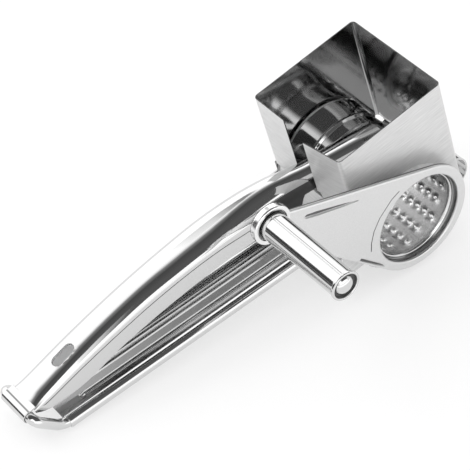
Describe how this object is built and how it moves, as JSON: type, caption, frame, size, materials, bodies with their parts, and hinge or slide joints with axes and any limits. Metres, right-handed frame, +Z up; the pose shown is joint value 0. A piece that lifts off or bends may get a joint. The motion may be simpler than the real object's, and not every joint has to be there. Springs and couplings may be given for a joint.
{
  "type": "rotary cheese grater",
  "caption": "Hand-cranked rotary cheese grater: square hopper, perforated grating drum, crank with knob, and a hinged lever handle that presses the cheese on the drum.",
  "frame": {"origin": "centre of the bounding box in plan, at the table", "axes": "+X from the hinge end of the handle to the hopper, +Z up, the crank on the -Y side"},
  "size_m": [0.198, 0.1014, 0.0796],
  "materials": {
    "polished_sheet": "mirror-polished stainless sheet",
    "satin_sheet": "satin stainless sheet with fine straight grain",
    "polished_wire": "polished round wire",
    "drum_steel": "half-bright stainless sheet",
    "bush_plastic": "plain moulded bush"
  },
  "bodies": {
    "frame": {"hopper_shell": "satin_sheet", "front_lip": "polished_sheet", "near_collar": "satin_sheet", "far_collar": "satin_sheet", "arm_shell": "polished_sheet", "wire_bow": "polished_wire", "ear_rivet_near_top": "satin_sheet", "ear_rivet_near_low": "satin_sheet", "ear_rivet_far_top": "satin_sheet", "ear_rivet_far_low": "satin_sheet"},
    "lever": {"lever_shell": "polished_sheet", "presser_plate": "polished_sheet"},
    "crank": {"grating_drum": "drum_steel", "drum_rim": "drum_steel", "drum_lock_ring": "drum_steel", "crank_plate": "satin_sheet", "knob_washer": "satin_sheet", "knob_pin": "polished_wire", "pin_washer": "satin_sheet"},
    "knob": {"knob_sleeve": "polished_sheet", "knob_bush_inner": "bush_plastic", "knob_bush_outer": "bush_plastic"}
  },
  "joints": [
    {"name": "lever_hinge", "type": "hinge", "parent": "frame", "child": "lever", "pos_m": [-0.09606, 0.02325, 0.01239], "axis": [0, -1, 0], "range_deg": [0, 95]},
    {"name": "crank_spin", "type": "hinge", "parent": "frame", "child": "crank", "pos_m": [0.06769, -0.00675, 0.026], "axis": [0, -1, 0], "continuous": true},
    {"name": "knob_spin", "type": "hinge", "parent": "crank", "child": "knob", "pos_m": [-0.00203, -0.02675, 0.06686], "axis": [0, -1, 0], "continuous": true}
  ]
}
